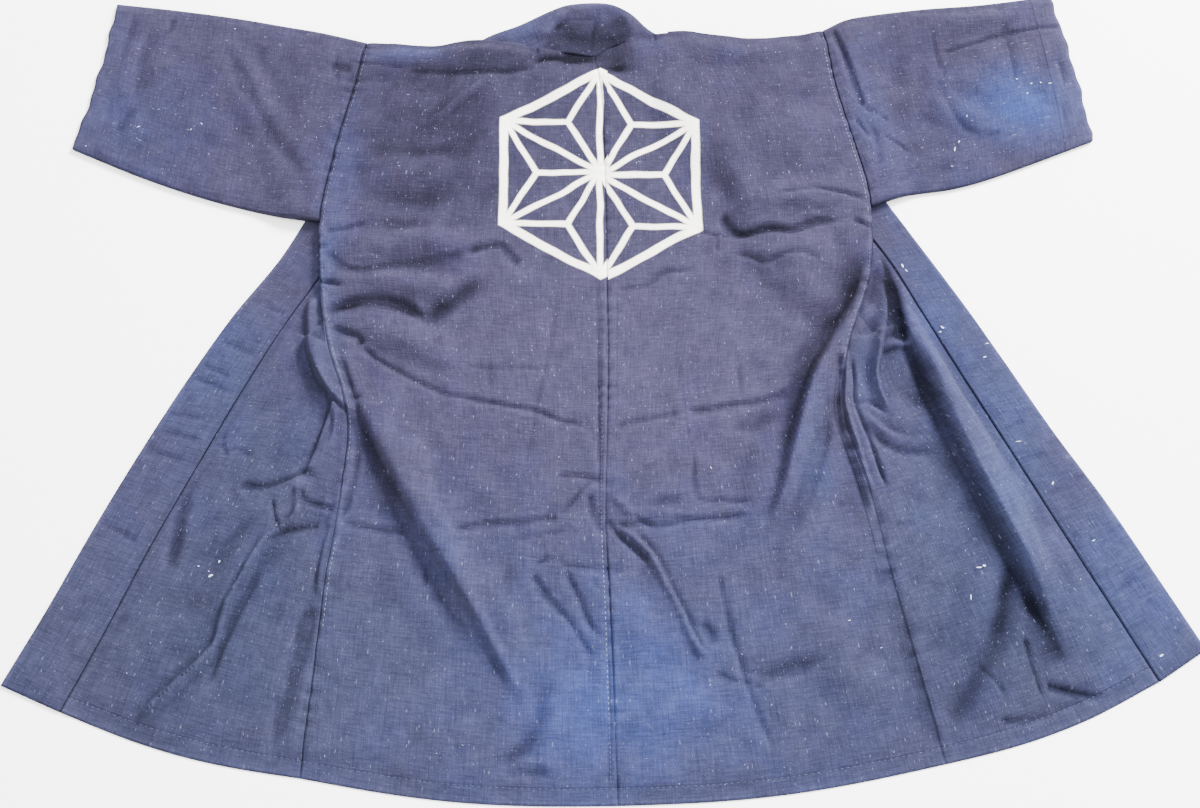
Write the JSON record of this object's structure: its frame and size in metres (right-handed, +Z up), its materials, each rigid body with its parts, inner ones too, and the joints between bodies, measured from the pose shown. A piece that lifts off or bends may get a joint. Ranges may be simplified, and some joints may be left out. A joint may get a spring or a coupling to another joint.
{
  "type": "happi coat",
  "caption": "Unlined indigo cotton happi coat laid out face down, with both fronts drawn out from under the back.",
  "frame": {"origin": "centre of the laid coat's outline, on the plane it rests on", "axes": "+X across the coat from sleeve to sleeve, +Y from the hem to the neck, +Z up from the plane it rests on"},
  "size_m": [1.272, 0.9501, 0.0219],
  "materials": {
    "indigo_cotton": "matt plain weave, faded",
    "collar_cotton": "matt plain weave, faded"
  },
  "bodies": {
    "root": {"body_left": "indigo_cotton", "body_right": "indigo_cotton", "sleeve_left": "indigo_cotton", "sleeve_right": "indigo_cotton", "collar": "collar_cotton"}
  },
  "joints": []
}
